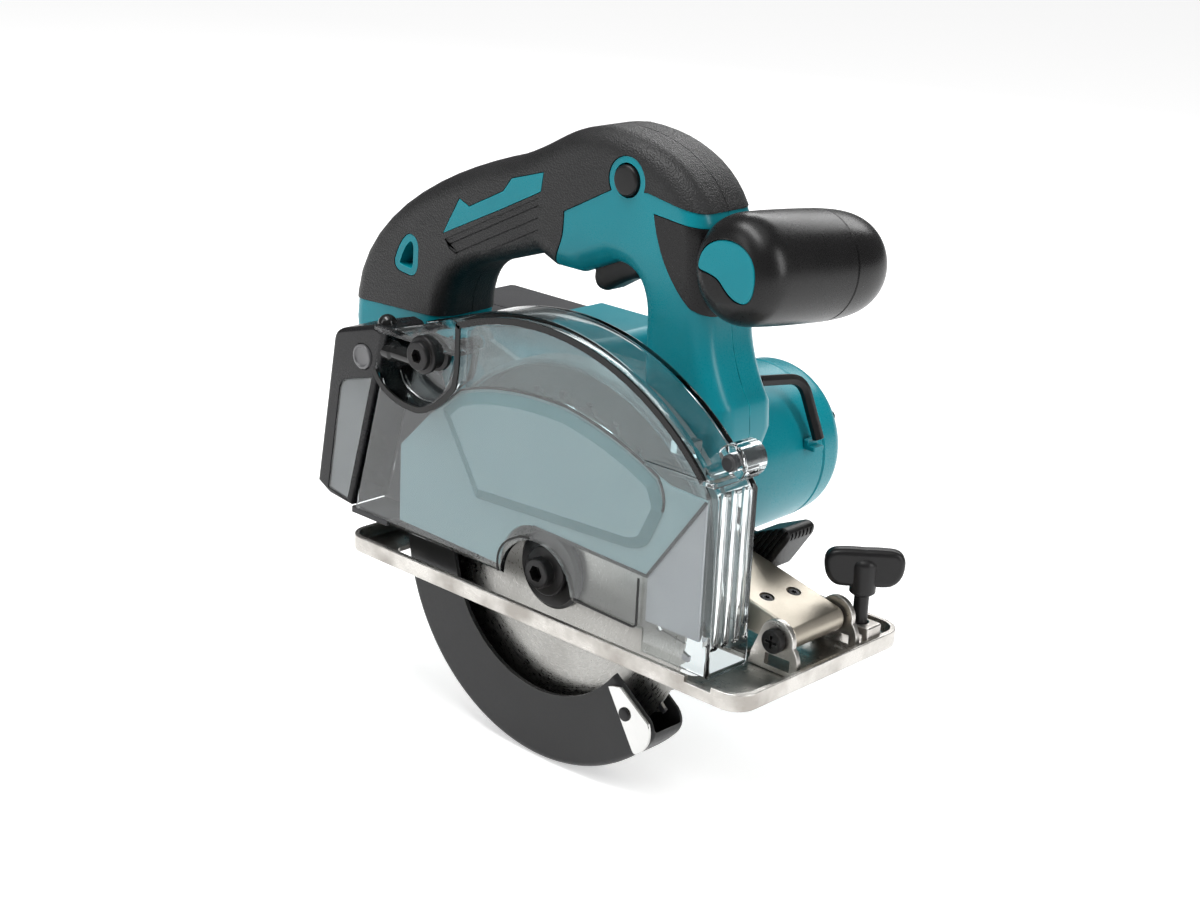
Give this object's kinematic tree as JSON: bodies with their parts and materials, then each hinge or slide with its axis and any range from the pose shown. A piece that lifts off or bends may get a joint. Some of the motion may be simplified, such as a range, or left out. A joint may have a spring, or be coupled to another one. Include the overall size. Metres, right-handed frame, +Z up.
{
  "type": "cordless circular saw",
  "caption": "Cordless circular saw for cutting metal, with a clear dust box over the blade, D-handle, front grip and hinged base plate.",
  "frame": {"origin": "on the underside of the base plate, straight below the blade spindle", "axes": "+X forward along the cut, +Z up, -Y towards the blade side"},
  "size_m": [0.2734, 0.1665, 0.2584],
  "materials": {
    "teal_plastic": "satin moulded teal plastic",
    "black_elastomer": "fine-stippled black soft grip",
    "black_plastic": "satin black moulded plastic",
    "dark_plastic": "dark grey moulded plastic",
    "smoked_clear": "clear smoked polycarbonate",
    "bright_steel": "bright ground steel",
    "blade_steel": "circular-brushed blade steel",
    "black_steel": "black painted or blued steel",
    "satin_alloy": "satin champagne alloy with worn edges",
    "case_alloy": "painted die-cast alloy",
    "liner_plastic": "light grey-teal moulded liner",
    "copper": "copper windings on a steel core"
  },
  "bodies": {
    "housing": {"housing_left": "teal_plastic", "housing_right": "teal_plastic", "grip_skin_left": "black_elastomer", "grip_skin_right": "black_elastomer", "pillar_skin": "black_elastomer", "switch_unit": "dark_plastic", "controller": "dark_plastic", "terminal_block": "black_plastic", "battery_shroud": "teal_plastic", "front_grip": "black_plastic", "front_grip_cap": "black_plastic", "front_grip_inlay": "teal_plastic", "blade_case": "case_alloy", "lamp": "smoked_clear", "dust_cover": "smoked_clear", "dust_liner": "liner_plastic", "cover_bolt": "black_steel", "cover_pin": "dark_plastic", "gear_case": "case_alloy", "gear_case_cover": "case_alloy", "motor_housing": "teal_plastic", "motor_end_cover": "teal_plastic", "stator": "copper", "motor_bearing": "bright_steel", "spindle_bearing": "bright_steel", "pivot_arm": "satin_alloy", "guard_spring": "bright_steel"},
    "spindle": {"spindle": "bright_steel", "spindle_gear": "bright_steel", "inner_flange": "black_steel", "blade": "blade_steel", "outer_flange": "black_steel", "blade_bolt": "black_steel"},
    "middle_shaft": {"middle_pinion": "bright_steel", "middle_wheel": "bright_steel", "middle_shaft": "bright_steel"},
    "rotor": {"rotor": "bright_steel", "motor_pinion": "bright_steel", "fan": "black_plastic"},
    "guard": {"lower_guard": "black_steel", "guard_nose_plate": "bright_steel", "guard_rivet": "black_steel"},
    "base": {"base_plate": "satin_alloy", "pivot_bracket": "satin_alloy", "pivot_pin": "black_steel", "depth_guide": "satin_alloy", "rule_clamp": "satin_alloy"},
    "depth_lever": {"depth_lever": "black_plastic"},
    "trigger": {"trigger": "black_plastic"},
    "lock_off_button": {"lock_off_button": "black_plastic"},
    "battery": {"battery_case": "dark_plastic"},
    "battery_latch": {"battery_latch": "dark_plastic"},
    "dust_door": {"dust_door": "dark_plastic"},
    "door_latch": {"door_latch": "dark_plastic"},
    "clamp_screw": {"clamp_screw": "black_plastic"},
    "shaft_lock": {"shaft_lock": "black_plastic"},
    "hex_key": {"hex_key": "black_steel"}
  },
  "joints": [
    {"name": "spindle_spin", "type": "hinge", "parent": "housing", "child": "spindle", "pos_m": [0, 0, 0.0175], "axis": [0, 1, 0], "continuous": true},
    {"name": "middle_spin", "type": "hinge", "parent": "housing", "child": "middle_shaft", "pos_m": [-0.01276, 0, 0.0329], "axis": [0, 1, 0], "continuous": true},
    {"name": "rotor_spin", "type": "hinge", "parent": "housing", "child": "rotor", "pos_m": [0, 0, 0.0456], "axis": [0, 1, 0], "continuous": true},
    {"name": "guard_swing", "type": "hinge", "parent": "housing", "child": "guard", "pos_m": [0, 0, 0.0175], "axis": [0, 1, 0], "range_deg": [0, 128], "stiffness_Nm_per_rad": 0.12, "springref_deg": -68.75},
    {"name": "depth_hinge", "type": "hinge", "parent": "housing", "child": "base", "pos_m": [0.103, 0, 0.0158], "axis": [0, -1, 0], "range_deg": [0, 22]},
    {"name": "depth_lever_turn", "type": "hinge", "parent": "housing", "child": "depth_lever", "pos_m": [-0.103, 0, 0.0158], "axis": [0, 1, 0], "range_deg": [0, 40]},
    {"name": "trigger_pull", "type": "slide", "parent": "housing", "child": "trigger", "axis": [0, 0, 1], "range_m": [0, 0.006], "stiffness_N_per_m": 600, "springref_m": -0.002},
    {"name": "lock_off_press", "type": "slide", "parent": "housing", "child": "lock_off_button", "axis": [0, 1, 0], "range_m": [-0.003, 0.003], "stiffness_N_per_m": 400},
    {"name": "shaft_lock_press", "type": "slide", "parent": "housing", "child": "shaft_lock", "axis": [-1, 0, 0], "range_m": [0, 0.004], "stiffness_N_per_m": 500, "springref_m": -0.001},
    {"name": "battery_slide", "type": "slide", "parent": "housing", "child": "battery", "axis": [-1, 0, 0], "range_m": [0, 0.06]},
    {"name": "battery_latch_press", "type": "slide", "parent": "battery", "child": "battery_latch", "axis": [0, 1, 0], "range_m": [0, 0.003], "stiffness_N_per_m": 500, "springref_m": -0.002},
    {"name": "door_swing", "type": "hinge", "parent": "housing", "child": "dust_door", "pos_m": [-0.1088, 0, 0.0175], "axis": [0, -1, 0], "range_deg": [0, 60]},
    {"name": "door_latch_press", "type": "slide", "parent": "dust_door", "child": "door_latch", "axis": [0, 1, 0], "range_m": [0, 0.003], "stiffness_N_per_m": 400, "springref_m": -0.002},
    {"name": "clamp_screw_turn", "type": "hinge", "parent": "base", "child": "clamp_screw", "pos_m": [0.1075, 0.033, 0.035], "axis": [0, 0, 1], "range_deg": [-180, 180]},
    {"name": "hex_key_pull", "type": "slide", "parent": "housing", "child": "hex_key", "axis": [0.6, 0, 0.8], "range_m": [0, 0.03]}
  ],
  "couplings": [
    {"joint": "middle_spin", "follows": "spindle_spin", "ratio": -1.4615},
    {"joint": "rotor_spin", "follows": "spindle_spin", "ratio": 4.3846}
  ]
}
